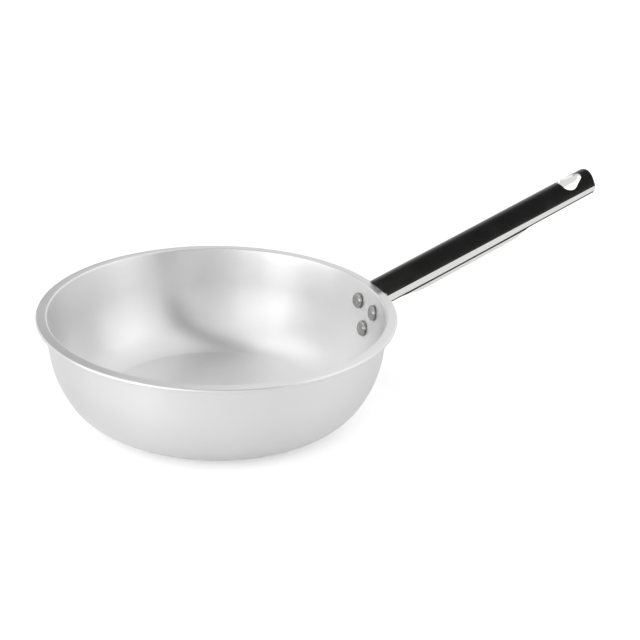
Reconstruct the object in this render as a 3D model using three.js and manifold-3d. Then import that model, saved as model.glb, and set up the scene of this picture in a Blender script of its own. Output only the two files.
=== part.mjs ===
import * as THREE from "three";
import { mergeVertices } from "three/addons/utils/BufferGeometryUtils.js";
import Module from "manifold-3d";

const wasm = await Module();
wasm.setup();
const degrees = THREE.MathUtils.degToRad;

// Millimetres. The origin is the middle of the base's underside; the handle points along +X.

// Bowl, spun from sheet
const RIM_RADIUS = 120;
const HEIGHT = 70;
const WALL = 2.5;
const BASE_RADIUS = 70;
const CORNER_RADIUS = 36.5;
const CORNER_END = degrees(33);
const SIDE_RADIUS = 71.5;
const LEAN = degrees(8);
const LIP_DROOP = degrees(4);
const LIP_FILLET = 1;

// Handle, pressed from steel sheet
const GAP = 0.3;
const SHEET = 1.5;
const TILT = degrees(20.57);
const CROWN_ABOVE_RIM = 4.8;
const GRIP_END = 170.2;
const LIP_CLEARANCE = 0.8;
const LIP_OVERLAP = 2.4;
const CROWN_RADIUS = 20;
const CROWN_HALF = 10.5;
const FOLD_RADIUS = 4.5;
const LEG_AT_PAN = 4.5;
const LEG_AT_TAIL = 3.1;
const ROLL_RADIUS = 2.4;
const ROLL_ANGLE = degrees(130);
const ROLL_FROM = 8;
const ROLL_TO = 112;
const END_RADIUS = 30;
const END_CORNER = 4;

// Hanging hole: a rounded triangle with its point towards the tail
const HOLE_BASE = 147.2;
const HOLE_POINT = 163.5;
const HOLE_TAPER = degrees(32.7);
const HOLE_POINT_RADIUS = 6.1;
const HOLE_BASE_RADIUS = 4.8;

// Tongue that runs from under the grip round the lip and down the wall
const TONGUE_HALF = 11;
const FLANGE_HALF = 17;
const FLANGE_TIP = 8.5;
const FLANGE_LOW_LEAN = degrees(19);
const FLANGE_STRAIGHT = 15.5;
const TONGUE_BEND = 4;
const UNDER_LIP_TILT = degrees(15);
const UNDER_LIP = 1.1;
const RISER_TILT = degrees(80);
const RISER = 2.5;

// Rivets
const SHANK_RADIUS = 2.5;
const HEAD_RADIUS = 5.5;
const HEAD_HEIGHT = 2.2;
const HEAD_FLAT = 3.2;
const TAIL_RADIUS = 4.2;
const TAIL_HEIGHT = 2;
const UPPER_DEPTH = 13.6;
const LOWER_DEPTH = 29.6;
const UPPER_TURN = degrees(6);

// Centres of the two arcs of the bowl's outside, as (radius, height).
const cornerCentre = new THREE.Vector2(BASE_RADIUS, CORNER_RADIUS);
const sideCentre = new THREE.Vector2(
  BASE_RADIUS + (CORNER_RADIUS - SIDE_RADIUS) * Math.cos(CORNER_END),
  CORNER_RADIUS - (CORNER_RADIUS - SIDE_RADIUS) * Math.sin(CORNER_END),
);

// The point of the side arc that leans by an angle from the vertical, moved out by an offset.
function sidePoint(lean, offset) {
  const radius = SIDE_RADIUS + offset;
  return new THREE.Vector2(
    sideCentre.x + radius * Math.cos(lean),
    sideCentre.y - radius * Math.sin(lean),
  );
}

// The bowl's outside at a height, on the straight wall or the side arc below it, with the lean there.
function wallAt(height) {
  const start = sidePoint(LEAN, 0);
  if (height >= start.y) {
    const radius = start.x + (height - start.y) * Math.tan(LEAN);
    return { point: new THREE.Vector2(radius, height), lean: LEAN };
  }
  const lean = Math.asin((sideCentre.y - height) / SIDE_RADIUS);
  return { point: sidePoint(lean, 0), lean };
}

function arc(centre, radius, from, to, parts) {
  const points = [];
  for (let i = 0; i <= parts; i++) {
    const angle = from + ((to - from) * i) / parts;
    const x = centre.x + radius * Math.cos(angle);
    const y = centre.y + radius * Math.sin(angle);
    points.push(new THREE.Vector2(x, y));
  }
  return points;
}

// Follows a bent strip from its start: each step is an arc of a length that turns by an angle.
function follow(start, angle, steps) {
  const path = [{ x: start.x, y: start.y, angle, along: 0 }];
  for (const { length, turn = 0, parts } of steps) {
    for (let i = 0; i < parts; i++) {
      const last = path.at(-1);
      const heading = last.angle + turn / parts / 2;
      path.push({
        x: last.x + (length / parts) * Math.cos(heading),
        y: last.y + (length / parts) * Math.sin(heading),
        angle: last.angle + turn / parts,
        along: last.along + length / parts,
      });
    }
  }
  return path;
}

// A closed solid from a geometry, without the triangles that collapse where vertices meet.
function solidOf(geometry) {
  geometry.deleteAttribute("normal");
  geometry.deleteAttribute("uv");
  const merged = mergeVertices(geometry, 1e-4);
  const index = merged.index.array;
  const kept = [];
  for (let i = 0; i < index.length; i += 3) {
    const [a, b, c] = index.slice(i, i + 3);
    if (a !== b && b !== c && c !== a) kept.push(a, b, c);
  }
  const mesh = new wasm.Mesh({
    numProp: 3,
    vertProperties: merged.attributes.position.array,
    triVerts: new Uint32Array(kept),
  });
  return new wasm.Manifold(mesh);
}

function geometryOf(solid) {
  const mesh = solid.getMesh();
  const geometry = new THREE.BufferGeometry();
  geometry.setAttribute("position", new THREE.BufferAttribute(mesh.vertProperties, 3));
  geometry.setIndex(new THREE.BufferAttribute(mesh.triVerts, 1));
  geometry.computeVertexNormals();
  return geometry;
}

// A rivet's place: +Y of the returned matrix runs inwards through the wall from the bowl's outside.
function rivetSeat(depth, turn) {
  const { point, lean } = wallAt(HEIGHT - depth);
  const inward = new THREE.Vector3(-Math.cos(lean), 0, Math.sin(lean));
  const aim = new THREE.Quaternion().setFromUnitVectors(new THREE.Vector3(0, 1, 0), inward);
  const seat = new THREE.Matrix4().makeRotationZ(turn);
  seat.multiply(new THREE.Matrix4().makeTranslation(point.x, 0, point.y));
  return seat.multiply(new THREE.Matrix4().makeRotationFromQuaternion(aim));
}

const seats = {
  rivet_upper_left: rivetSeat(UPPER_DEPTH, UPPER_TURN),
  rivet_upper_right: rivetSeat(UPPER_DEPTH, -UPPER_TURN),
  rivet_lower: rivetSeat(LOWER_DEPTH, 0),
};

function drillRivetHoles(solid) {
  let drilled = solid;
  for (const seat of Object.values(seats)) {
    const drill = new THREE.CylinderGeometry(SHANK_RADIUS + GAP, SHANK_RADIUS + GAP, 14, 24);
    drilled = drilled.subtract(solidOf(drill.applyMatrix4(seat)));
  }
  return drilled;
}

// One face of the bowl from the middle of the base to the foot of the lip, moved in by an inset.
function bowlFace(inset) {
  const corner = arc(cornerCentre, CORNER_RADIUS - inset, -Math.PI / 2, -CORNER_END, 9);
  const side = arc(sideCentre, SIDE_RADIUS - inset, -CORNER_END, -LEAN, 6);
  return [new THREE.Vector2(0, inset), ...corner, ...side.slice(1)];
}

// The lip is the wall turned out over a small fillet, with a rounded edge.
function lipFaces() {
  const height = HEIGHT - LIP_FILLET - WALL;
  const wall = wallAt(height + LIP_FILLET * Math.sin(LEAN)).point;
  const centre = new THREE.Vector2(wall.x + LIP_FILLET * Math.cos(LEAN), height);
  const up = Math.PI / 2 - LIP_DROOP;
  const under = arc(centre, LIP_FILLET, Math.PI - LEAN, up, 4);
  const over = arc(centre, LIP_FILLET + WALL, up, Math.PI - LEAN, 7);
  const middle = LIP_FILLET + WALL / 2;
  const edgeRadius = RIM_RADIUS - WALL / 2;
  const reach = edgeRadius - centre.x - middle * Math.cos(up);
  const edgeHeight = centre.y + middle * Math.sin(up) - reach * Math.tan(LIP_DROOP);
  const edge = arc(new THREE.Vector2(edgeRadius, edgeHeight), WALL / 2, up - Math.PI, up, 6);
  return [...under, ...edge, ...over];
}

function makeBowl() {
  const outline = [...bowlFace(0), ...lipFaces(), ...bowlFace(WALL).reverse()];
  const lathe = new THREE.LatheGeometry(outline, 72);
  return drillRivetHoles(solidOf(lathe.rotateX(Math.PI / 2)));
}

// Closed outline of a sheet whose middle line is given from the middle to one edge.
function sheetOutline(half) {
  const top = [];
  const under = [];
  for (const side of [-1, 1]) {
    const points = side < 0 ? half.slice(1).reverse() : half;
    for (const { x, y, angle } of points) {
      const across = (-Math.sin(angle) * SHEET) / 2;
      const out = (Math.cos(angle) * SHEET) / 2;
      top.push(new THREE.Vector2(side * (x + across), y + out));
      under.push(new THREE.Vector2(side * (x - across), y - out));
    }
  }
  return [...top, ...under.reverse()];
}

// Skins the outlines of a strip across its stations along a path in the XZ plane.
function loft(stations, outlineAt) {
  const positions = [];
  const index = [];
  const outlines = stations.map((station) => outlineAt(station.along));
  const count = outlines[0].length;
  stations.forEach(({ x, y, angle }, k) => {
    for (const point of outlines[k]) {
      positions.push(x - Math.sin(angle) * point.y, point.x, y + Math.cos(angle) * point.y);
    }
  });
  for (let k = 0; k + 1 < stations.length; k++) {
    for (let i = 0; i < count; i++) {
      const a = k * count + i;
      const b = k * count + ((i + 1) % count);
      index.push(a, a + count, b, b, a + count, b + count);
    }
  }
  const last = (stations.length - 1) * count;
  for (const [a, b, c] of THREE.ShapeUtils.triangulateShape(outlines[0], [])) index.push(a, c, b);
  for (const [a, b, c] of THREE.ShapeUtils.triangulateShape(outlines.at(-1), [])) {
    index.push(last + a, last + b, last + c);
  }
  const geometry = new THREE.BufferGeometry();
  geometry.setAttribute("position", new THREE.Float32BufferAttribute(positions, 3));
  geometry.setIndex(index);
  return solidOf(geometry);
}

// The grip's frame: along it from the rim, across it, and out of its crown; height 0 is the sheet's middle.
const gripOrigin = new THREE.Vector2(
  RIM_RADIUS + (SHEET / 2) * Math.sin(TILT),
  HEIGHT + CROWN_ABOVE_RIM - (SHEET / 2) * Math.cos(TILT),
);
const gripFrame = new THREE.Matrix4()
  .makeTranslation(gripOrigin.x, 0, gripOrigin.y)
  .multiply(new THREE.Matrix4().makeRotationY(-TILT));

const blend = THREE.MathUtils.smoothstep;

// Across the grip: crown, shoulder, side, and the edge rolled under where the hand goes.
function gripOutline(along) {
  const rolled = blend(along, ROLL_FROM, ROLL_FROM + 34) * (1 - blend(along, ROLL_TO - 30, ROLL_TO));
  const crownTurn = CROWN_HALF / CROWN_RADIUS;
  const shoulderTurn = Math.PI / 2 - crownTurn;
  const leg = THREE.MathUtils.lerp(LEG_AT_PAN, LEG_AT_TAIL, along / GRIP_END);
  const half = follow({ x: 0, y: 0 }, 0, [
    { length: CROWN_HALF, turn: -crownTurn, parts: 3 },
    { length: FOLD_RADIUS * shoulderTurn, turn: -shoulderTurn, parts: 4 },
    { length: leg - 0.2, parts: 1 },
    { length: 0.2 + ROLL_RADIUS * ROLL_ANGLE * rolled, turn: -ROLL_ANGLE * rolled, parts: 5 },
  ]);
  return sheetOutline(half);
}

function gripStations() {
  const start = new THREE.Vector2(-12, 0).rotateAround(new THREE.Vector2(), TILT).add(gripOrigin);
  const stations = follow(start, TILT, [
    { length: 20, parts: 1 },
    { length: 34, parts: 9 },
    { length: 40, parts: 2 },
    { length: 30, parts: 8 },
    { length: GRIP_END - 108, parts: 2 },
  ]);
  for (const station of stations) station.along -= 12;
  return stations;
}

// The tongue is wrapped round the bowl: a round tip, wide at the upper rivets, narrower where it meets the grip.
function tongueOutline(along, length) {
  const tip = Math.min(along + 0.5, FLANGE_TIP);
  const tipHalf = Math.sqrt(FLANGE_TIP ** 2 - (FLANGE_TIP - tip) ** 2);
  const widening = (FLANGE_HALF - FLANGE_TIP) * blend(along, FLANGE_TIP * 0.6, FLANGE_TIP * 2.4);
  const narrowing = (FLANGE_HALF - TONGUE_HALF) * blend(along, length - 15, length - 6);
  const half = tipHalf + widening - narrowing;
  return sheetOutline(follow({ x: 0, y: 0 }, 0, [{ length: half, turn: half / RIM_RADIUS, parts: 4 }]));
}

// From the tip up the wall, out under the lip and up outside it, into the plate that ends the grip.
function makeTongue() {
  const offset = GAP + SHEET / 2;
  const bend = (from, to) => ({ length: TONGUE_BEND * Math.abs(to - from), turn: to - from, parts: 6 });
  const stations = follow(sidePoint(FLANGE_LOW_LEAN, offset), Math.PI / 2 - FLANGE_LOW_LEAN, [
    { length: (SIDE_RADIUS + offset) * (FLANGE_LOW_LEAN - LEAN), turn: FLANGE_LOW_LEAN - LEAN, parts: 9 },
    { length: FLANGE_STRAIGHT, parts: 4 },
    bend(Math.PI / 2 - LEAN, UNDER_LIP_TILT),
    { length: UNDER_LIP, parts: 1 },
    bend(UNDER_LIP_TILT, RISER_TILT),
    { length: RISER, parts: 1 },
  ]);
  const length = stations.at(-1).along;
  return loft(stations, (along) => tongueOutline(along, length));
}

function cylinderRoundBowl(radius, top) {
  const cylinder = new THREE.CylinderGeometry(radius, radius, top, 96);
  return solidOf(cylinder.rotateX(Math.PI / 2).translate(0, 0, top / 2));
}

// The room that the bowl needs: the crown of the grip may reach in over the lip, and nothing below it may.
function roomForBowl() {
  const outside = cylinderRoundBowl(RIM_RADIUS + LIP_CLEARANCE, HEIGHT + LIP_CLEARANCE);
  return outside.add(cylinderRoundBowl(RIM_RADIUS - LIP_OVERLAP, 2 * HEIGHT));
}

// Closes the grip towards the pan and follows the lip's edge.
function makeEndPlate() {
  const outside = (along) => {
    const outline = gripOutline(along);
    return outline.slice(0, outline.length / 2);
  };
  const filled = loft(gripStations().slice(0, 4), outside);
  const inner = RIM_RADIUS + LIP_CLEARANCE;
  const ring = cylinderRoundBowl(inner + SHEET, 2 * HEIGHT).subtract(cylinderRoundBowl(inner, 2 * HEIGHT));
  return filled.intersect(ring);
}

// The grip's tail is cut to a gentle curve in plan, with its lower corners rounded.
function trimTail(grip) {
  const wide = 20;
  const swing = Math.asin(wide / END_RADIUS);
  const plan = new THREE.Shape();
  plan.absarc(GRIP_END - END_RADIUS, 0, END_RADIUS, -swing, swing);
  plan.lineTo(-20, wide);
  plan.lineTo(-20, -wide);
  const planCut = new THREE.ExtrudeGeometry(plan, { depth: 60, bevelEnabled: false, curveSegments: 16 });
  const drop = CROWN_RADIUS * (1 - Math.cos(CROWN_HALF / CROWN_RADIUS));
  const shoulder = FOLD_RADIUS * Math.cos(CROWN_HALF / CROWN_RADIUS);
  const lowest = -(drop + shoulder + LEG_AT_TAIL) - 0.2;
  const side = new THREE.Shape();
  side.moveTo(-20, -40);
  side.lineTo(GRIP_END - 40, -40);
  side.lineTo(GRIP_END - 40, lowest);
  const endAtSide = GRIP_END - 1.8;
  side.lineTo(endAtSide - END_CORNER, lowest);
  side.absarc(endAtSide - END_CORNER, lowest + END_CORNER, END_CORNER, -Math.PI / 2, 0);
  side.lineTo(GRIP_END + 10, lowest + END_CORNER);
  side.lineTo(GRIP_END + 10, 20);
  side.lineTo(-20, 20);
  const sideCut = new THREE.ExtrudeGeometry(side, { depth: 60, bevelEnabled: false, curveSegments: 6 });
  planCut.translate(0, 0, -40);
  sideCut.rotateX(Math.PI / 2).translate(0, 30, 0);
  const inPlan = grip.intersect(solidOf(planCut.applyMatrix4(gripFrame)));
  return inPlan.intersect(solidOf(sideCut.applyMatrix4(gripFrame)));
}

function hangingHole() {
  const tip = HOLE_POINT - HOLE_POINT_RADIUS;
  const back = HOLE_BASE + HOLE_BASE_RADIUS;
  const narrowing = HOLE_POINT_RADIUS - HOLE_BASE_RADIUS + (tip - back) * Math.sin(HOLE_TAPER);
  const half = narrowing / Math.cos(HOLE_TAPER);
  const lean = Math.PI / 2 - HOLE_TAPER;
  const hole = new THREE.Shape();
  hole.absarc(tip, 0, HOLE_POINT_RADIUS, -lean, lean);
  hole.absarc(back, half, HOLE_BASE_RADIUS, lean, Math.PI);
  hole.absarc(back, -half, HOLE_BASE_RADIUS, Math.PI, 2 * Math.PI - lean);
  const punch = new THREE.ExtrudeGeometry(hole, { depth: 24, bevelEnabled: false, curveSegments: 9 });
  return solidOf(punch.translate(0, 0, -12).applyMatrix4(gripFrame));
}

function makeHandle() {
  const grip = trimTail(loft(gripStations(), gripOutline)).subtract(hangingHole());
  const closed = grip.subtract(roomForBowl()).add(makeEndPlate());
  return drillRivetHoles(closed.add(makeTongue()));
}

// Head with a flat top and round shoulder inside the bowl, shank through wall and flange, upset tail outside.
function makeRivet(seat) {
  const headBase = WALL + GAP + 0.1;
  const tailBase = -(2 * GAP + SHEET + 0.1);
  const tail = [
    [0, 1],
    [0.7, 1],
    [0.93, 0.75],
    [1, 0.4],
    [1, 0],
  ].map(([r, h]) => new THREE.Vector2(r * TAIL_RADIUS, tailBase - h * TAIL_HEIGHT));
  const shank = [tailBase, headBase].map((h) => new THREE.Vector2(SHANK_RADIUS, h));
  const shoulder = arc(new THREE.Vector2(), 1, 0, Math.PI / 2, 6);
  for (const point of shoulder) {
    point.x = HEAD_FLAT + (HEAD_RADIUS - HEAD_FLAT) * point.x;
    point.y = headBase + HEAD_HEIGHT * point.y;
  }
  const middle = new THREE.Vector2(0, headBase + HEAD_HEIGHT);
  const lathe = new THREE.LatheGeometry([...tail, ...shank, ...shoulder, middle], 24);
  return solidOf(lathe.applyMatrix4(seat));
}

function addPiece(group, name, solid, material) {
  const piece = new THREE.Mesh(geometryOf(solid), new THREE.MeshStandardMaterial(material));
  piece.name = name;
  group.add(piece);
}

const aluminium = { color: 0xd4d4d2, roughness: 0.42, metalness: 1 };
const steel = { color: 0xc9c8c5, roughness: 0.12, metalness: 1 };

const pan = new THREE.Group();
addPiece(pan, "pan_body", makeBowl(), aluminium);
addPiece(pan, "handle", makeHandle(), steel);
for (const [name, seat] of Object.entries(seats)) addPiece(pan, name, makeRivet(seat), steel);

export default pan;
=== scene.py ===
# %% [markdown]
# # A frying pan with a riveted sheet-steel handle
# The pan is a spun aluminium bowl, a handle pressed from one piece of steel sheet, and three rivets.
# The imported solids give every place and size. The pieces made here stand in the same places, with the
# smooth surfaces, the rounded lip and the finishes of the real pan.

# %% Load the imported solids
import math

import bpy
from mathutils import Matrix, Vector


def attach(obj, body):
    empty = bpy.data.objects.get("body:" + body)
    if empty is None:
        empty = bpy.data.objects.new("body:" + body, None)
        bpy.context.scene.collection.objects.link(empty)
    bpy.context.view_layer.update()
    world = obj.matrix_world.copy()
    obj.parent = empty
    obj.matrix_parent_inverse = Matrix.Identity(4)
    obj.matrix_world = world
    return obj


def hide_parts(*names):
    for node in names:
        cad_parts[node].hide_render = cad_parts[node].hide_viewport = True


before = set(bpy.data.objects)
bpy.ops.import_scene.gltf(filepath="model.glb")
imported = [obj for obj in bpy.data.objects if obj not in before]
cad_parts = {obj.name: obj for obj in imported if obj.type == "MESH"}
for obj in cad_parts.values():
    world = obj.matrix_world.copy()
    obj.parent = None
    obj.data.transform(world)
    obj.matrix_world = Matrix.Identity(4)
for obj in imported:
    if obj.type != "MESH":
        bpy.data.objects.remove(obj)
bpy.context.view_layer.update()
MM = 0.001

# %% [markdown]
# ## Camera
# A long lens far away keeps the rim's ellipse nearly even from front to back. The camera looks down at
# the pan by about 24 degrees, with the handle going right and away from it, and it is rolled a little.
# A constraint could aim it at the pan, but fixed angles hold the roll too.

# %% Camera
CAMERA_PLACE = Vector((-498.4, -1230.7, 648.5)) * MM
LOOK_DOWN = math.radians(23.71)
LOOK_TURN = math.radians(-25)
ROLL = math.radians(1.512)
LENS_MM = 122.6
SENSOR_MM = 36

camera = bpy.data.objects.new("camera", bpy.data.cameras.new("camera"))
bpy.context.collection.objects.link(camera)
camera.data.lens = LENS_MM
camera.data.sensor_width = SENSOR_MM
aim = Matrix.Rotation(LOOK_TURN, 4, "Z") @ Matrix.Rotation(math.pi / 2 - LOOK_DOWN, 4, "X")
camera.matrix_world = Matrix.Translation(CAMERA_PLACE) @ aim @ Matrix.Rotation(ROLL, 4, "Z")
bpy.context.scene.camera = camera
print("camera at", [round(c, 3) for c in CAMERA_PLACE])

# %% [markdown]
# ## Nodes in one line
# Every material and the world are small node trees. They could be wired one socket at a time. One helper
# that adds a node, sets it and links what it is given keeps each tree short enough to read.

# %% Node helper and colours
def add_node(tree, kind, inputs=None, **settings):
    node = tree.nodes.new(kind)
    for name, value in settings.items():
        setattr(node, name, value)
    for socket, value in (inputs or {}).items():
        if isinstance(value, bpy.types.NodeSocket):
            tree.links.new(value, node.inputs[socket])
        else:
            node.inputs[socket].default_value = value
    return node


def linear(hex_colour):
    parts = [int(hex_colour[i : i + 2], 16) / 255 for i in (1, 3, 5)]
    return [c / 12.92 if c <= 0.04045 else ((c + 0.055) / 1.055) ** 2.4 for c in parts] + [1]


def empty_tree(owner):
    owner.use_nodes = True
    owner.node_tree.nodes.clear()
    return owner.node_tree


# %% [markdown]
# ## Studio
# The pan stands on white paper in a white tent. Polished steel shows nothing but the room, and the top of
# the handle shows black, so a narrow black strip runs across the roof of the tent, above the handle. The
# strip fades to grey at the back. The satin bowl blurs it to a faint shade.
#
# The handle's long mirror shows only directions that lean by nearly one amount towards its tail, whatever
# way its surface faces across. So the strip is laid out from the handle: by that lean, and by the angle
# round the handle. A black sheet could hang there instead. Painted into the world, the strip lies alike
# for every point of the handle and keeps no lamp's light off the pan.

# %% World: how each direction lies to the handle
TILT = math.radians(20.57)
HANDLE_WAY = (math.cos(TILT), 0, math.sin(TILT))
HANDLE_UP = (-math.sin(TILT), 0, math.cos(TILT))

world = bpy.data.worlds.new("white_tent")
bpy.context.scene.world = world
tree = empty_tree(world)
way = add_node(tree, "ShaderNodeTexCoord").outputs["Generated"]
lean = add_node(tree, "ShaderNodeVectorMath", {0: way, 1: HANDLE_WAY}, operation="DOT_PRODUCT")
rise = add_node(tree, "ShaderNodeVectorMath", {0: way, 1: HANDLE_UP}, operation="DOT_PRODUCT")
back = add_node(tree, "ShaderNodeSeparateXYZ", {0: way}).outputs["Y"]
overhead = add_node(tree, "ShaderNodeMath", {0: back, 1: rise.outputs["Value"]}, operation="ARCTAN2")
print("handle rises by", round(math.degrees(TILT), 1), "degrees")

# %% World: a white tent with a black strip across its roof
TENT = 0.9
# The strip covers the directions that lean this much towards the handle's tail.
STRIP_MIDDLE = 0.303
STRIP_HALF = 0.078
STRIP_FADE = 0.04
# How bright the strip is, by the angle from straight above the handle towards the back, in degrees.
STRIP_LEVELS = (
    (-108, TENT), (-100, 0.05), (-70, 0.024), (-30, 0.014), (40, 0.014), (58, 0.022), (66, 0.045),
    (75, 0.1), (88, 0.2), (100, 0.35), (122, TENT),
)

share = add_node(
    tree, "ShaderNodeMapRange", {"Value": overhead.outputs[0], "From Min": -math.pi, "From Max": math.pi}
)
strip = add_node(tree, "ShaderNodeValToRGB", {"Fac": share.outputs[0]})
while len(strip.color_ramp.elements) < len(STRIP_LEVELS):
    strip.color_ramp.elements.new(1)
for element, (angle, grey) in zip(strip.color_ramp.elements, STRIP_LEVELS):
    element.position = (angle + 180) / 360
    element.color = (grey, grey, grey, 1)
off_middle = add_node(
    tree, "ShaderNodeMath", {0: lean.outputs["Value"], 1: STRIP_MIDDLE}, operation="SUBTRACT"
)
off_side = add_node(tree, "ShaderNodeMath", {0: off_middle.outputs[0]}, operation="ABSOLUTE")
in_strip = add_node(
    tree,
    "ShaderNodeMapRange",
    {"Value": off_side.outputs[0], "From Min": STRIP_HALF + STRIP_FADE, "From Max": STRIP_HALF},
)
room = add_node(
    tree,
    "ShaderNodeMix",
    {"Factor": in_strip.outputs[0], "A": (TENT, TENT, TENT, 1), "B": strip.outputs["Color"]},
    data_type="RGBA",
)
print("tent at", TENT, "with a strip of", len(STRIP_LEVELS), "levels")

# %% World: white where the camera looks past the pan
path = add_node(tree, "ShaderNodeLightPath")
seen = add_node(
    tree,
    "ShaderNodeMix",
    {"Factor": path.outputs["Is Camera Ray"], "A": room.outputs["Result"], "B": (1, 1, 1, 1)},
    data_type="RGBA",
)
background = add_node(tree, "ShaderNodeBackground", {"Color": seen.outputs["Result"], "Strength": 1.0})
add_node(tree, "ShaderNodeOutputWorld", {"Surface": background.outputs[0]})
bpy.context.scene.view_settings.view_transform = "Standard"
print("world:", world.name, "with", len(tree.nodes), "nodes")

# %% [markdown]
# ## Table
# The pan stands on white paper, which keeps its shadow. More light could make the paper white, but it
# would burn out the pale metal. A glow that only the camera sees puts no light on the pan.

# %% White paper
TABLE_SIZE = 12
TABLE_DROP = 0.0002
TABLE_GLOW = 0.36
PAPER = "#FAFAFA"

bpy.ops.object.select_all(action="DESELECT")
bpy.ops.mesh.primitive_plane_add(size=TABLE_SIZE, location=(0, 0, -TABLE_DROP))
table = bpy.context.object
table.name = "table"
paper = bpy.data.materials.new("white_paper")
tree = empty_tree(paper)
path = add_node(tree, "ShaderNodeLightPath")
glow = add_node(
    tree, "ShaderNodeMath", {0: path.outputs["Is Camera Ray"], 1: TABLE_GLOW}, operation="MULTIPLY"
)
matt = add_node(tree, "ShaderNodeBsdfDiffuse", {"Color": linear(PAPER)})
shine = add_node(tree, "ShaderNodeEmission", {"Strength": glow.outputs[0]})
both = add_node(tree, "ShaderNodeAddShader", {0: matt.outputs[0], 1: shine.outputs[0]})
add_node(tree, "ShaderNodeOutputMaterial", {"Surface": both.outputs[0]})
table.data.materials.append(paper)
print("table:", [round(side, 2) for side in table.dimensions])

# %% [markdown]
# ## Lamps
# Soft boxes draw the bright patches on the satin metal. The key lamp, at the left, lights the right wall
# inside the bowl. A low, wide one lights the outside at the left. One above brightens the floor, and a
# weak one at the right fills the left wall. Small lamps could do it too, but their highlights would glare.
# All stand clear of what the top of the handle mirrors, so that it stays black.

# %% Soft boxes
LAMP_DISTANCE = 1.4
# Where each one stands, its width and height in metres, and its watts.
LAMPS = {
    "key_lamp": ((-0.80, -0.50, 0.33), 1.0, 1.0, 1.9),
    "low_lamp": ((-0.97, -0.10, 0.15), 1.4, 0.4, 3.0),
    "top_lamp": ((-0.45, 0.25, 0.86), 0.9, 0.9, 1.0),
    "fill_lamp": ((0.75, -0.45, 0.48), 1.0, 1.0, 1.2),
}

for name, (way, width, tall, watts) in LAMPS.items():
    lamp = bpy.data.objects.new(name, bpy.data.lights.new(name, "AREA"))
    bpy.context.collection.objects.link(lamp)
    lamp.data.shape = "RECTANGLE"
    lamp.data.size = width
    lamp.data.size_y = tall
    lamp.data.energy = watts
    toward = Vector(way).normalized()
    facing = toward.to_track_quat("Z", "Y").to_matrix().to_4x4()
    lamp.matrix_world = Matrix.Translation(toward * LAMP_DISTANCE) @ facing
print("lamps:", {name: values[-1] for name, values in LAMPS.items()})

# %% [markdown]
# ## Bowl
# A bowl like this is spun: a flat disc of aluminium turns on a lathe and is pressed over a former. A
# cylinder could be shaped ring by ring, but spinning is how the real one is made, and its outline stays
# easy to read. One vertex in the middle of the base is extruded along the outside of the bowl, and the
# line is spun round the axis. Solidify then gives the sheet its thickness, the base is left thicker, the
# inner edge of the lip is folded crisply, and a bevel rounds the lip's cut edge.

# %% Outline of the bowl
RIM_RADIUS = 120
HEIGHT = 70
WALL = 2.5
BASE_RADIUS = 70
CORNER_RADIUS = 36.5
CORNER_END = math.radians(33)
SIDE_RADIUS = 71.5
LEAN = math.radians(8)
LIP_DROOP = math.radians(4)
LIP_FILLET = 1
# A hair off the lip keeps it inside the solid's faceted edge.
LIP_TRIM = 0.05
FILLET_HEIGHT = HEIGHT - LIP_FILLET - WALL
BASE_PARTS = 8
CORNER_PARTS = 40
SIDE_PARTS = 12
FILLET_PARTS = 8
SIDE_CENTRE = (
    BASE_RADIUS + (CORNER_RADIUS - SIDE_RADIUS) * math.cos(CORNER_END),
    CORNER_RADIUS - (CORNER_RADIUS - SIDE_RADIUS) * math.sin(CORNER_END),
)


def arc(centre, radius, start, end, parts):
    angles = [start + (end - start) * k / parts for k in range(parts + 1)]
    return [(centre[0] + radius * math.cos(a), centre[1] + radius * math.sin(a)) for a in angles]


def wall_at(height):
    """Radius of the bowl's outside at a height on the side, and how far it leans there."""
    start = SIDE_CENTRE[1] - SIDE_RADIUS * math.sin(LEAN)
    if height >= start:
        return SIDE_CENTRE[0] + SIDE_RADIUS * math.cos(LEAN) + (height - start) * math.tan(LEAN), LEAN
    lean = math.asin((SIDE_CENTRE[1] - height) / SIDE_RADIUS)
    return SIDE_CENTRE[0] + SIDE_RADIUS * math.cos(lean), lean


def fillet_centre():
    """Middle of the fillet under the lip, as (radius, height)."""
    foot = FILLET_HEIGHT + LIP_FILLET * math.sin(LEAN)
    return wall_at(foot)[0] + LIP_FILLET * math.cos(LEAN), FILLET_HEIGHT


def bowl_outline():
    corner = arc((BASE_RADIUS, CORNER_RADIUS), CORNER_RADIUS, -math.pi / 2, -CORNER_END, CORNER_PARTS)
    side = arc(SIDE_CENTRE, SIDE_RADIUS, -CORNER_END, -LEAN, SIDE_PARTS)
    fillet_foot = FILLET_HEIGHT + LIP_FILLET * math.sin(LEAN)
    straight = [fillet_foot + (side[-1][1] - fillet_foot) * k / 4 for k in (3, 2, 1)]
    wall = [(wall_at(height)[0], height) for height in straight]
    fillet = arc(fillet_centre(), LIP_FILLET, math.pi - LEAN, math.pi / 2 - LIP_DROOP, FILLET_PARTS)
    reach = RIM_RADIUS - LIP_TRIM - WALL * math.sin(LIP_DROOP) - fillet[-1][0]
    steps = [reach * k / 3 for k in (1, 2, 3)]
    lip = [(fillet[-1][0] + step, fillet[-1][1] - step * math.tan(LIP_DROOP)) for step in steps]
    base = [(BASE_RADIUS * k / BASE_PARTS, 0) for k in range(BASE_PARTS)]
    return base + corner + side[1:] + wall + fillet + lip


print("bowl outline:", len(bowl_outline()), "points")

# %% Spin the bowl
SPIN_STEPS = 180
SEAM = 1e-6


def apply_modifier(piece, kind, **settings):
    modifier = piece.modifiers.new(kind.lower(), kind)
    for name, value in settings.items():
        setattr(modifier, name, value)
    bpy.context.view_layer.objects.active = piece
    bpy.ops.object.modifier_apply(modifier=modifier.name)


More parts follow.
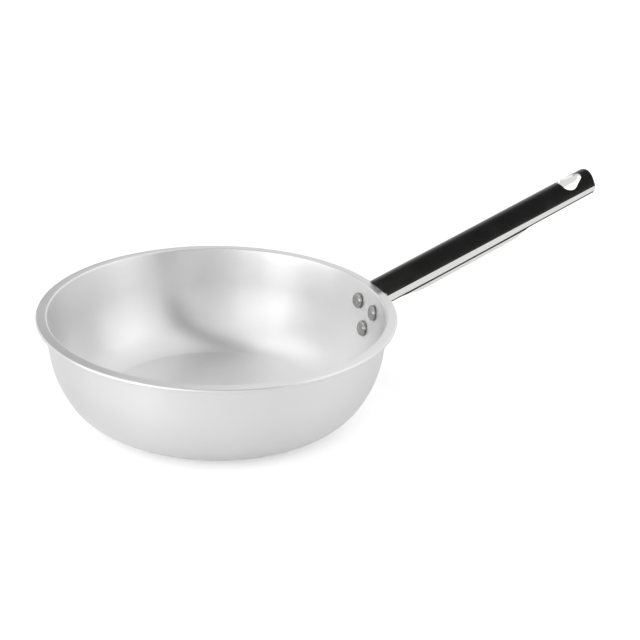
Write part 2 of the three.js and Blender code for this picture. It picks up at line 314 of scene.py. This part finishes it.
def spin_outline(name, outline, steps, inside=False):
    """Extrudes a vertex along an outline of (radius, height) in millimetres and spins the line round Z."""
    bpy.ops.object.select_all(action="DESELECT")
    bpy.ops.mesh.primitive_plane_add(size=MM, location=(outline[0][0] * MM, 0, outline[0][1] * MM))
    piece = bpy.context.object
    piece.name = name
    bpy.ops.object.transform_apply(location=True, rotation=True, scale=True)
    bpy.ops.object.mode_set(mode="EDIT")
    bpy.ops.mesh.select_mode(type="VERT")
    bpy.ops.mesh.select_all(action="SELECT")
    bpy.ops.mesh.merge(type="CENTER")
    for (r0, z0), (r1, z1) in zip(outline, outline[1:]):
        step = ((r1 - r0) * MM, 0, (z1 - z0) * MM)
        bpy.ops.mesh.extrude_region_move(TRANSFORM_OT_translate={"value": step})
    bpy.ops.mesh.select_all(action="SELECT")
    bpy.ops.mesh.spin(steps=steps, angle=2 * math.pi, center=(0, 0, 0), axis=(0, 0, 1))
    bpy.ops.mesh.select_all(action="SELECT")
    bpy.ops.mesh.remove_doubles(threshold=SEAM)
    bpy.ops.mesh.normals_make_consistent(inside=inside)
    bpy.ops.object.mode_set(mode="OBJECT")
    return piece


# The sheet is open, and here it takes inside=True to point its normals out of the bowl.
bowl = spin_outline("bowl", bowl_outline(), SPIN_STEPS, inside=True)
lowest = min(bowl.data.polygons, key=lambda face: face.center.z)
print("bowl sheet:", len(bowl.data.polygons), "faces, base faces", [round(c, 2) for c in lowest.normal])

# %% Give the bowl its wall and its thicker base
BASE_THICKNESS = 4
FLOOR_REACH = 82
# The inner face of the base lies at the wall's thickness, but for rounding.
INNER_FACE = 0.99 * WALL

apply_modifier(bowl, "SOLIDIFY", thickness=WALL * MM, offset=-1, use_even_offset=True)
# The base is left thicker than the wall, so the floor is flat out to a faint edge.
for vertex in bowl.data.vertices:
    if vertex.co.xy.length < FLOOR_REACH * MM and vertex.co.z > INNER_FACE * MM:
        vertex.co.z = max(vertex.co.z, BASE_THICKNESS * MM)
print("bowl with its wall:", len(bowl.data.polygons), "faces")

# %% Fold and round the lip
LIP_FOLD = 1.2
LIP_ROUND = 1.1
LIP_CORNER = math.radians(50)
SMOOTH_BELOW = math.radians(40)
# The fold moves the points between near and far of the fillet's middle. They are the fillet's inner face,
# at the loose radius, and also one ring of the lip's underside, which is drawn up into a groove.
LOOSE_FOLD = LIP_FILLET + WALL
FOLD_NEAR = 2
FOLD_FAR = LOOSE_FOLD + 0.02

# The inner edge of the lip is folded tighter than the sheet would bend by itself.
middle = Vector(fillet_centre())
wall_way = Vector((-math.cos(LEAN), math.sin(LEAN)))
lip_way = Vector((math.sin(LIP_DROOP), math.cos(LIP_DROOP)))
to_corner = (wall_way + lip_way) / (1 + wall_way.dot(lip_way))
for vertex in bowl.data.vertices:
    reach = vertex.co.xy.length
    way = Vector((reach, vertex.co.z)) / MM - middle
    if FOLD_NEAR < way.length < FOLD_FAR:
        step = (to_corner - way / LOOSE_FOLD) * (LOOSE_FOLD - LIP_FOLD) * MM
        vertex.co.xy *= (reach + step.x) / reach
        vertex.co.z += step.y
apply_modifier(
    bowl, "BEVEL", width=LIP_ROUND * MM, segments=4, limit_method="ANGLE", angle_limit=LIP_CORNER
)
bpy.ops.object.shade_smooth_by_angle(angle=SMOOTH_BELOW)
print("bowl:", len(bowl.data.polygons), "faces, size", [round(d, 4) for d in bowl.dimensions])

# %% [markdown]
# ## Handle
# The real handle begins as a flat blank of 1.5 mm steel with its hanging hole already punched, and a
# press folds it into an arched channel. A block could be cut to this shape, but cuts leave long thin
# faces, and polished steel shows each one. So this handle begins as a flat grid, with rows and columns set
# where the folds will be. Faces are taken out where the hole goes, and the edge they leave is extruded
# inward in rings to the hole's outline. Then every vertex is moved to where the press takes it.

# %% Blank for the grip
SHEET = 1.5
GRIP_END = 170.1
CROWN_RADIUS = 20
CROWN_HALF = 10.5
CROWN_TURN = CROWN_HALF / CROWN_RADIUS
SHOULDER_RADIUS = 4.5
SHOULDER_TURN = math.pi / 2 - CROWN_TURN
SHOULDER_FLAT = SHOULDER_RADIUS * SHOULDER_TURN
LEG_FLAT = 3
FLARE_FLAT = 1.2
ROLL_FLAT = 4
ROWS = 84
# Flat widths of the zones of one half of the blank, with the columns in each.
ZONES = ((CROWN_HALF, 10), (SHOULDER_FLAT, 10), (LEG_FLAT, 3), (FLARE_FLAT, 5), (ROLL_FLAT, 10))


def blank_columns():
    half = [0]
    for width, count in ZONES:
        start = half[-1]
        half += [start + width * k / count for k in range(1, count + 1)]
    return [-t for t in reversed(half[1:])] + half


columns = blank_columns()
bpy.ops.object.select_all(action="DESELECT")
bpy.ops.mesh.primitive_grid_add(x_subdivisions=ROWS, y_subdivisions=len(columns) - 1, size=1)
grip = bpy.context.object
grip.name = "handle_sheet"
for vertex in grip.data.vertices:
    row = (vertex.co.x + 0.5) * ROWS
    column = round((vertex.co.y + 0.5) * (len(columns) - 1))
    vertex.co = (row / ROWS * GRIP_END * MM, columns[column] * MM, 0)
print("blank:", len(grip.data.vertices), "vertices,", len(columns), "columns")

# %% Punch the hanging hole
HOLE_BASE = 147.2
HOLE_POINT = 163.5
HOLE_TAPER = math.radians(32.7)
HOLE_POINT_RADIUS = 6.1
HOLE_BASE_RADIUS = 4.8
HOLE_MIDDLE = Vector((154.5, 0))
# Start, end and half width of the patch of the grid that is opened, and how far off its edges may lie.
HOLE_FRAME = (141.5, 168, 10.5)
FRAME_MARGIN = 2
SHEET_EDGE = columns[-1] - 0.1
HOLE_RINGS = 4
HOLE_PARTS = 40


def hole_outline():
    """A rounded triangle with its point towards the tail, as (along, across) on the flat blank."""
    tip = HOLE_POINT - HOLE_POINT_RADIUS
    back = HOLE_BASE + HOLE_BASE_RADIUS
    taper = (tip - back) * math.sin(HOLE_TAPER)
    half = (HOLE_POINT_RADIUS - HOLE_BASE_RADIUS + taper) / math.cos(HOLE_TAPER)
    lean = math.pi / 2 - HOLE_TAPER
    outline = arc((tip, 0), HOLE_POINT_RADIUS, -lean, lean, HOLE_PARTS)
    outline += arc((back, half), HOLE_BASE_RADIUS, lean, math.pi, HOLE_PARTS)
    outline += arc((back, -half), HOLE_BASE_RADIUS, math.pi, 2 * math.pi - lean, HOLE_PARTS)
    return [Vector((along, CROWN_RADIUS * math.asin(across / CROWN_RADIUS))) for along, across in outline]


def on_outline(outline, direction):
    """The point of the outline that lies in a direction from the hole's middle."""
    for a, b in zip(outline, outline[1:] + outline[:1]):
        off_a = direction.cross(a - HOLE_MIDDLE)
        off_b = direction.cross(b - HOLE_MIDDLE)
        if off_a <= 0 < off_b:
            return a + (b - a) * off_a / (off_a - off_b)


def select_only(piece, faces=(), vertices=()):
    """Selects just these faces or vertices of a piece, by number, before edit mode is entered."""
    for item in (*piece.data.vertices, *piece.data.edges, *piece.data.polygons):
        item.select = False
    for index in faces:
        piece.data.polygons[index].select = True
    for index in vertices:
        piece.data.vertices[index].select = True
    bpy.context.tool_settings.mesh_select_mode = (bool(vertices), False, not vertices)


def in_hole_frame(point):
    return HOLE_FRAME[0] < point.x / MM < HOLE_FRAME[1] and abs(point.y) / MM < HOLE_FRAME[2]


select_only(grip, faces=[p.index for p in grip.data.polygons if in_hole_frame(p.center)])
bpy.ops.object.mode_set(mode="EDIT")
bpy.ops.mesh.delete(type="FACE")
bpy.ops.object.mode_set(mode="OBJECT")
print("faces left round the hole:", len(grip.data.polygons))

# %% Draw the edge of the opening in to the hole
edge_uses = {}
for polygon in grip.data.polygons:
    for key in polygon.edge_keys:
        edge_uses[key] = edge_uses.get(key, 0) + 1


def beside_hole(number):
    along, across, _ = grip.data.vertices[number].co / MM
    return HOLE_FRAME[0] - FRAME_MARGIN < along < HOLE_FRAME[1] + FRAME_MARGIN and abs(across) < SHEET_EDGE


frame_edges = {key for key, uses in edge_uses.items() if uses == 1 and all(beside_hole(v) for v in key)}
outline = hole_outline()
select_only(grip, vertices={v for key in frame_edges for v in key})
bpy.ops.object.mode_set(mode="EDIT")
bpy.ops.mesh.select_mode(type="EDGE")
for steps_left in range(HOLE_RINGS, 0, -1):
    bpy.ops.mesh.extrude_edges_move()
    bpy.ops.object.mode_set(mode="OBJECT")
    for vertex in grip.data.vertices:
        if vertex.select:
            spot = vertex.co.xy / MM
            target = on_outline(outline, (spot - HOLE_MIDDLE).normalized())
            vertex.co.xy = (spot + (target - spot) / steps_left) * MM
    bpy.ops.object.mode_set(mode="EDIT")
bpy.ops.object.mode_set(mode="OBJECT")
print("hole frame:", len(frame_edges), "edges, faces now:", len(grip.data.polygons))

# %% [markdown]
# ## Pressing the blank
# Across the grip the sheet runs over a gently arched crown, round a tight shoulder and down the side.
# Where the hand goes, the edge is also rolled under, so that no sharp edge meets the fingers. Towards the
# pan the sheet ends on the curve of the lip, and the tail is cut to a gentle curve with rounded corners.
# A Simple Deform modifier could bend the grid, but by one angle only. A formula can follow every fold.

# %% Bend the blank across the grip
CROWN_ABOVE_RIM = 4.8
CROWN_TOP = HEIGHT + CROWN_ABOVE_RIM
GRIP_ORIGIN = Vector((RIM_RADIUS + SHEET / 2 * math.sin(TILT), CROWN_TOP - SHEET / 2 * math.cos(TILT)))
LEG_AT_PAN = 4.5
LEG_AT_TAIL = 3.1
PLAIN_EDGE = 0.3
FLARE_TURN = math.radians(25)
ROLL_RADIUS = 2.4
ROLL_TURN = math.radians(130)
ROLL_FROM = 8
ROLL_GROWS = 34
ROLL_TO = 112
ROLL_FADES = 30


def smooth_step(value, start, end):
    share = min(max((value - start) / (end - start), 0), 1)
    return share * share * (3 - 2 * share)


def mix(a, b, share):
    return a + (b - a) * share


def across_grip(along, flat):
    """Where a point of the blank lands across the grip: sideways, and up or down from the crown."""
    grown = smooth_step(along, ROLL_FROM, ROLL_FROM + ROLL_GROWS)
    rolled = grown * (1 - smooth_step(along, ROLL_TO - ROLL_FADES, ROLL_TO))
    leg = mix(LEG_AT_PAN, LEG_AT_TAIL, along / GRIP_END)
    full_roll = ROLL_TURN + FLARE_TURN
    bends = (
        (CROWN_HALF, CROWN_HALF, CROWN_TURN),
        (SHOULDER_FLAT, SHOULDER_FLAT, SHOULDER_TURN),
        (LEG_FLAT, leg - FLARE_FLAT - mix(PLAIN_EDGE, 0, rolled), 0),
        (FLARE_FLAT, FLARE_FLAT, -FLARE_TURN),
        (ROLL_FLAT, mix(PLAIN_EDGE, ROLL_RADIUS * full_roll, rolled), full_roll * rolled),
    )
    side, height, angle, left = 0, 0, 0, abs(flat)
    for width, length, turn in bends:
        share = min(left / width, 1)
        middle = angle + turn * share / 2
        half_turn = turn * share / 2
        chord = length * share * (math.sin(half_turn) / half_turn if abs(half_turn) > 1e-9 else 1)
        side += chord * math.cos(middle)
        height -= chord * math.sin(middle)
        angle += turn * share
        left = max(left - width, 0)
    return math.copysign(side, flat), height


tail_half = across_grip(GRIP_END, CROWN_HALF + SHOULDER_FLAT)[0]
print("grip:", round(2 * tail_half + SHEET, 1), "mm wide at the tail")

# %% Trim both ends and press the grip
LIP_SLANT = 1.05
FRONT_GAP = 0.2
LAP_LOW = 0.9
LAP_HIGH = 1.6
FRONT_BLEND = 30
TAIL_RADIUS = 24
TAIL_CORNER = 4
TAIL_BLEND = 6


def along_at(radius, side, height):
    """How far along the grip a line of the sheet meets a cylinder round the bowl."""
    return (math.sqrt(radius**2 - side**2) - GRIP_ORIGIN.x + height * math.sin(TILT)) / math.cos(TILT)


def on_grip(along, side, height):
    """A point of the grip's own frame in the pan's frame, in millimetres."""
    x = GRIP_ORIGIN.x + along * math.cos(TILT) - height * math.sin(TILT)
    return Vector((x, side, GRIP_ORIGIN.y + along * math.sin(TILT) + height * math.cos(TILT)))


def front_radius(height):
    """How far from the bowl's axis the sheet begins: over the lip where it is high, else just outside."""
    over_lip = CROWN_ABOVE_RIM + height * math.cos(TILT)
    return RIM_RADIUS + FRONT_GAP - LIP_SLANT * over_lip * smooth_step(over_lip, LAP_LOW, LAP_HIGH)


def pressed(along, flat):
    """Where a point of the blank lands in the pan's frame, in millimetres."""
    side, height = across_grip(along, flat)
    first = along_at(front_radius(height), side, height)
    lowest = across_grip(GRIP_END, columns[-1])[1]
    below = min(max(lowest + TAIL_CORNER - height, 0), TAIL_CORNER)
    cut = side**2 / (2 * TAIL_RADIUS) + TAIL_CORNER - math.sqrt(TAIL_CORNER**2 - below**2)
    at_front = max(1 - along / FRONT_BLEND, 0)
    at_tail = min(max(1 - (GRIP_END - along) / TAIL_BLEND, 0), 1)
    return on_grip(along + first * at_front - cut * at_tail, side, height)


for vertex in grip.data.vertices:
    vertex.co = pressed(vertex.co.x / MM, vertex.co.y / MM) * MM
reach = [v.co.x / MM for v in grip.data.vertices]
print("grip from", round(min(reach), 1), "to", round(max(reach), 1), "mm")

# %% [markdown]
# ## Closed end
# Under the front of the crown the channel is closed, so that nobody looks into it from the pan. One big
# face could fill the opening, but it could not follow the lip. A small grid does: it slopes back from the
# crown's edge over the lip and goes straight down outside it.

# %% Plate that closes the grip outside the lip
PLATE_ROWS = 12
PLATE_GAP = 0.8
PLATE_RADIUS = RIM_RADIUS + PLATE_GAP + SHEET / 2
# The plate has the grip's columns as far as the end of the legs, and none of the flare.
PLATE_HALF = CROWN_HALF + SHOULDER_FLAT + LEG_FLAT + 0.01
HEM_BACK = 2.2
HEM_SLOPE = 1.25

inner_columns = [t for t in columns if abs(t) < PLATE_HALF]
plate_foot = across_grip(0, columns[-1])[1]
bpy.ops.object.select_all(action="DESELECT")
bpy.ops.mesh.primitive_grid_add(x_subdivisions=PLATE_ROWS, y_subdivisions=len(inner_columns) - 1, size=1)
plate = bpy.context.object
for vertex in plate.data.vertices:
    column = inner_columns[round((vertex.co.y + 0.5) * (len(inner_columns) - 1))]
    side, height = across_grip(0, column)
    start = front_radius(height) + HEM_BACK
    drop = (height - plate_foot) * (vertex.co.x + 0.5)
    height -= drop
    radius = min(start + HEM_SLOPE * drop, PLATE_RADIUS)
    vertex.co = on_grip(along_at(radius, side, height), side, height) * MM
print("plate:", len(plate.data.polygons), "faces")

# %% [markdown]
# ## Tongue
# From the closed end of the grip a tongue goes in under the lip and down the wall, and widens to a shield
# that takes the three rivets. It could be a copy of part of the wall, but that lacks the bends under the
# lip. So it is a grid of its own, whose rows follow the bent path and whose columns wrap the bowl.

# %% Path and width of the tongue
GAP = 0.3
SHIELD_HALF = 17
SHIELD_TIP = 8.5
TONGUE_HALF = 11
SHIELD_LOW_LEAN = math.radians(19)
SHIELD_STRAIGHT = 15.5
TONGUE_BEND = 4
UNDER_LIP_TILT = math.radians(15)
UNDER_LIP = 1.1
RISER_TILT = math.radians(80)
RISER = 2.5
# The first row lies this far in from the tip, so that it has a width.
TIP_START = 0.5
# The shield widens between these distances in tip radii, and narrows between these before the end.
WIDENS = (0.6, 2.4)
NARROWS = (15, 6)
TONGUE_COLUMNS = 16


def tongue_path():
    """Points (x, z), heading and distance along the tongue's middle, from the tip up to the grip."""
    offset = GAP + SHEET / 2
    radius = SIDE_RADIUS + offset
    x = SIDE_CENTRE[0] + radius * math.cos(SHIELD_LOW_LEAN)
    z = SIDE_CENTRE[1] - radius * math.sin(SHIELD_LOW_LEAN)
    heading = math.pi / 2 - SHIELD_LOW_LEAN
    bend_in = UNDER_LIP_TILT - (math.pi / 2 - LEAN)
    bend_out = RISER_TILT - UNDER_LIP_TILT
    # Length, turn and number of parts of each stretch.
    steps = (
        (radius * (SHIELD_LOW_LEAN - LEAN), SHIELD_LOW_LEAN - LEAN, 20),
        (SHIELD_STRAIGHT, 0, 10),
        (TONGUE_BEND * abs(bend_in), bend_in, 8),
        (UNDER_LIP, 0, 1),
        (TONGUE_BEND * bend_out, bend_out, 8),
        (RISER, 0, 2),
    )
    path = [(x, z, heading, 0)]
    for length, turn, parts in steps:
        for _ in range(parts):
            middle = heading + turn / parts / 2
            x += length / parts * math.cos(middle)
            z += length / parts * math.sin(middle)
            heading += turn / parts
            path.append((x, z, heading, path[-1][3] + length / parts))
    return path


def tongue_half(along, length):
    tip = min(along + TIP_START, SHIELD_TIP)
    tip_half = math.sqrt(SHIELD_TIP**2 - (SHIELD_TIP - tip) ** 2)
    widened = smooth_step(along, SHIELD_TIP * WIDENS[0], SHIELD_TIP * WIDENS[1])
    narrowed = smooth_step(along, length - NARROWS[0], length - NARROWS[1])
    return tip_half + (SHIELD_HALF - SHIELD_TIP) * widened - (SHIELD_HALF - TONGUE_HALF) * narrowed


print("tongue:", 2 * SHIELD_HALF, "mm wide at the rivets,", 2 * TONGUE_HALF, "mm under the lip")

# %% Tongue and shield
route = tongue_path()
bpy.ops.object.select_all(action="DESELECT")
bpy.ops.mesh.primitive_grid_add(x_subdivisions=len(route) - 1, y_subdivisions=TONGUE_COLUMNS, size=1)
tongue = bpy.context.object
for vertex in tongue.data.vertices:
    x, z, heading, along = route[round((vertex.co.x + 0.5) * (len(route) - 1))]
    flat = 2 * vertex.co.y * tongue_half(along, route[-1][3])
    rise = RIM_RADIUS * (1 - math.cos(flat / RIM_RADIUS))
    side = RIM_RADIUS * math.sin(flat / RIM_RADIUS)
    vertex.co = Vector((x - rise * math.sin(heading), side, z + rise * math.cos(heading))) * MM
print("tongue:", len(tongue.data.vertices), "vertices, length", round(route[-1][3], 1), "mm")

# %% [markdown]
# ## One sheet
# Grip, plate and tongue are one piece of steel. A Boolean could unite them, but it would cut up faces that
# have to mirror smoothly. So each grid gets the sheet's thickness, half to either side, and they are
# joined as they are. Over the lip the crown's edge is ground to a slope from below, so that only its thin
# upper line shows.

# %% Give the sheets their thickness and join them
GROUND_BACK = 1.9
GROUND_HALF = 10
GROUND_REACH = 4
GROUND_FROM = SHEET / 4
HANDLE_SMOOTH = math.radians(20)

for sheet in (grip, plate, tongue):
    apply_modifier(sheet, "SOLIDIFY", thickness=SHEET * MM, offset=0)
for vertex in grip.data.vertices:
    x, side, z = vertex.co / MM
    height = (z - GRIP_ORIGIN.y) * math.cos(TILT) - (x - GRIP_ORIGIN.x) * math.sin(TILT)
    below_crown = math.sqrt(CROWN_RADIUS**2 - min(side**2, GROUND_HALF**2)) - CROWN_RADIUS - height
    if x < RIM_RADIUS and below_crown > GROUND_FROM:
        near_middle = 1 - smooth_step(abs(side), GROUND_HALF / 2, GROUND_HALF)
        share = min((RIM_RADIUS - x) / GROUND_REACH, 1) * near_middle
        vertex.co += Vector(HANDLE_WAY) * GROUND_BACK * share * MM
bpy.ops.object.select_all(action="DESELECT")
for sheet in (tongue, plate, grip):
    sheet.select_set(True)
bpy.context.view_layer.objects.active = grip
bpy.ops.object.join()
handle = grip
bpy.ops.object.shade_smooth_by_angle(angle=HANDLE_SMOOTH)
print("handle:", len(handle.data.polygons), "faces, size", [round(d, 4) for d in handle.dimensions])

# %% [markdown]
# ## Rivets
# Solid rivets: a head with a flat top and a round shoulder inside the bowl, a shank through wall and
# shield, and an upset end outside. A flattened sphere could be the head, but it has no flat top. An
# outline spun round the rivet's own axis gives head, shank and end at once. Each rivet is then laid on
# the wall, square to it.

# %% Outline and seat of a rivet
SHANK_RADIUS = 2.5
HEAD_RADIUS = 5.5
HEAD_HEIGHT = 2.2
HEAD_FLAT = 3.2
TAIL_END_RADIUS = 4.2
TAIL_HEIGHT = 2
# Added to the gap under heads and ends, because the wall curves up towards the edge of a head.
SEAT_GAP = 0.1
SHOULDER_PARTS = 12
# The upset end from its middle out, in shares of its radius and height.
UPSET_END = ((0, 1), (0.45, 1), (0.7, 0.97), (0.87, 0.85), (0.96, 0.65), (1, 0.4), (1, 0))


def rivet_outline():
    head_base = WALL + GAP + SEAT_GAP
    tail_base = -(2 * GAP + SHEET + SEAT_GAP)
    wide = HEAD_RADIUS - HEAD_FLAT
    quarter = arc((0, 0), 1, 0, math.pi / 2, SHOULDER_PARTS)
    head = [(HEAD_FLAT + wide * x, head_base + HEAD_HEIGHT * y) for x, y in quarter]
    tail = [(r * TAIL_END_RADIUS, tail_base - h * TAIL_HEIGHT) for r, h in UPSET_END]
    shank = [(SHANK_RADIUS, tail_base), (SHANK_RADIUS, head_base)]
    return tail + shank + head + [(0, head_base + HEAD_HEIGHT)]


def rivet_seat(depth, turn):
    """Lays +Z along the inward normal of the wall, at a depth below the rim."""
    radius, lean = wall_at(HEIGHT - depth)
    inward = Vector((-math.cos(lean), 0, math.sin(lean)))
    place = Matrix.Translation(Vector((radius, 0, HEIGHT - depth)) * MM)
    return Matrix.Rotation(turn, 4, "Z") @ place @ inward.to_track_quat("Z", "Y").to_matrix().to_4x4()


print("rivet outline:", len(rivet_outline()), "points")

# %% Rivets
# Depth below the rim in millimetres, and the turn round the bowl from the handle's middle.
RIVET_PLACES = {
    "rivet_upper_left": (13.6, math.radians(6)),
    "rivet_upper_right": (13.6, math.radians(-6)),
    "rivet_lower": (29.6, 0),
}
RIVET_STEPS = 48
RIVET_EDGE = 0.25
RIVET_CORNER = math.radians(35)

rivets = {}
for name, (depth, turn) in RIVET_PLACES.items():
    rivet = spin_outline(name + "_head", rivet_outline(), RIVET_STEPS)
    rivet.matrix_world = rivet_seat(depth, turn)
    bpy.ops.object.transform_apply(location=True, rotation=True, scale=True)
    apply_modifier(
        rivet, "BEVEL", width=RIVET_EDGE * MM, segments=3, limit_method="ANGLE", angle_limit=RIVET_CORNER
    )
    bpy.ops.object.shade_smooth_by_angle(angle=SMOOTH_BELOW)
    rivets[name] = rivet
print("rivets:", [(r.name, len(r.data.polygons)) for r in rivets.values()])

# %% [markdown]
# ## Satin aluminium
# The bowl is spun aluminium with a fine satin finish. The tool leaves rings too fine to see one by one.
# To the eye they blur what the metal mirrors much more across the rings than along them, which draws
# upright streaks on the wall and wedges of light on the floor. Modelled grooves could do it, but they are
# far too fine. So the shine has a direction, taken round the bowl's axis.

# %% Satin aluminium: rings and clouds
# The real rings are finer than a picture can show, so they are drawn this coarse.
RING_MM = 0.7
RING_STRENGTH = 0.05
RING_DEPTH_MM = 0.2
CLOUD_MM = 45
ALUMINIUM_LIGHT = "#F3F3F3"
ALUMINIUM_DARK = "#EFEFEF"


def metal(name):
    material = bpy.data.materials.new(name)
    return material, empty_tree(material)


aluminium, tree = metal("satin_spun_aluminium")
place = add_node(tree, "ShaderNodeTexCoord").outputs["Object"]
on_plan = add_node(tree, "ShaderNodeVectorMath", {0: place, 1: (1, 1, 0)}, operation="MULTIPLY")
radius = add_node(tree, "ShaderNodeVectorMath", {0: on_plan.outputs[0]}, operation="LENGTH")
height = add_node(tree, "ShaderNodeSeparateXYZ", {0: place})
ring_place = add_node(
    tree, "ShaderNodeCombineXYZ", {"X": radius.outputs["Value"], "Y": height.outputs["Z"]}
)
rings = add_node(
    tree,
    "ShaderNodeTexNoise",
    {"Vector": ring_place.outputs[0], "Scale": 1 / (RING_MM * MM), "Detail": 2},
)
cloud = add_node(tree, "ShaderNodeTexNoise", {"Vector": place, "Scale": 1 / (CLOUD_MM * MM), "Detail": 3})
colour = add_node(
    tree,
    "ShaderNodeMix",
    {"Factor": cloud.outputs["Fac"], "A": linear(ALUMINIUM_LIGHT), "B": linear(ALUMINIUM_DARK)},
    data_type="RGBA",
)
print("aluminium: rings of", RING_MM, "mm, clouds of", CLOUD_MM, "mm")

# %% Satin aluminium: a soft shine that is longest across the rings
CLOUD_RANGE = (0.3, 0.7)
SATIN_BLUR = (0.34, 0.4)
SATIN_PULL = 0.8
QUARTER_TURN = 0.25

blur = add_node(
    tree,
    "ShaderNodeMapRange",
    {
        "Value": cloud.outputs["Fac"],
        "From Min": CLOUD_RANGE[0],
        "From Max": CLOUD_RANGE[1],
        "To Min": SATIN_BLUR[0],
        "To Max": SATIN_BLUR[1],
    },
)
grooves = add_node(
    tree,
    "ShaderNodeBump",
    {"Height": rings.outputs["Fac"], "Strength": RING_STRENGTH, "Distance": RING_DEPTH_MM * MM},
)
round_the_axis = add_node(tree, "ShaderNodeTangent", direction_type="RADIAL", axis="Z")
surface = add_node(
    tree,
    "ShaderNodeBsdfPrincipled",
    {
        "Base Color": colour.outputs["Result"],
        "Metallic": 1.0,
        "Roughness": blur.outputs[0],
        "Anisotropic": SATIN_PULL,
        "Anisotropic Rotation": QUARTER_TURN,
        "Tangent": round_the_axis.outputs[0],
        "Normal": grooves.outputs[0],
    },
)
add_node(tree, "ShaderNodeOutputMaterial", {"Surface": surface.outputs[0]})
bowl.data.materials.clear()
bowl.data.materials.append(aluminium)
print("aluminium: roughness", SATIN_BLUR, "with a pull of", SATIN_PULL)

# %% [markdown]
# ## Polished steel
# The handle and the rivets are stainless steel, polished on a wheel. To the eye it is a mirror that shows
# the tent, the strip and the bowl. A perfect mirror could be set, but it would look like glass. A little
# blur makes it metal, and faint patches that are duller look like handling. The rivets' copy of the steel
# is painted darker, as painted shade for the dark that their heads show where they sit tight on the wall.

# %% Polished steel
SCUFF_MM = 12
BRIGHTEST_BLUR = 0.05


def polished_steel(name, light, dark, dullest_blur):
    material, tree = metal(name)
    place = add_node(tree, "ShaderNodeTexCoord").outputs["Object"]
    cloud = add_node(
        tree, "ShaderNodeTexNoise", {"Vector": place, "Scale": 1 / (SCUFF_MM * MM), "Detail": 4}
    )
    colour = add_node(
        tree,
        "ShaderNodeMix",
        {"Factor": cloud.outputs["Fac"], "A": linear(light), "B": linear(dark)},
        data_type="RGBA",
    )
    blur = add_node(
        tree,
        "ShaderNodeMapRange",
        {
            "Value": cloud.outputs["Fac"],
            "From Min": CLOUD_RANGE[0],
            "From Max": CLOUD_RANGE[1],
            "To Min": BRIGHTEST_BLUR,
            "To Max": dullest_blur,
        },
    )
    surface = add_node(
        tree,
        "ShaderNodeBsdfPrincipled",
        {"Base Color": colour.outputs["Result"], "Metallic": 1.0, "Roughness": blur.outputs[0]},
    )
    add_node(tree, "ShaderNodeOutputMaterial", {"Surface": surface.outputs[0]})
    return material


steel = polished_steel("polished_stainless_steel", "#F0F0EF", "#EBEBEA", 0.09)
# The rivets' copy is painted darker: painted shade for the dark that the heads show where they sit tight
# on the wall.
rivet_steel_painted_shade = polished_steel("polished_rivet_steel_painted_shade", "#ABABAA", "#A4A4A3", 0.12)
handle.data.materials.clear()
handle.data.materials.append(steel)
for rivet in rivets.values():
    rivet.data.materials.clear()
    rivet.data.materials.append(rivet_steel_painted_shade)
print("finishes:", aluminium.name, steel.name, rivet_steel_painted_shade.name)

# %% [markdown]
# ## Pieces in the solids' places
# Nothing on the pan moves, so every piece rides on the one body, and the solid each was made from is
# hidden.

# %% Ride and replace
for piece, node, slot in (
    (bowl, "pan_body", "aluminium"),
    (handle, "handle", "steel"),
    *((rivet, name, "rivet") for name, rivet in rivets.items()),
):
    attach(piece, "root")
    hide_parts(node)
    print(piece.name, "stands for", node)
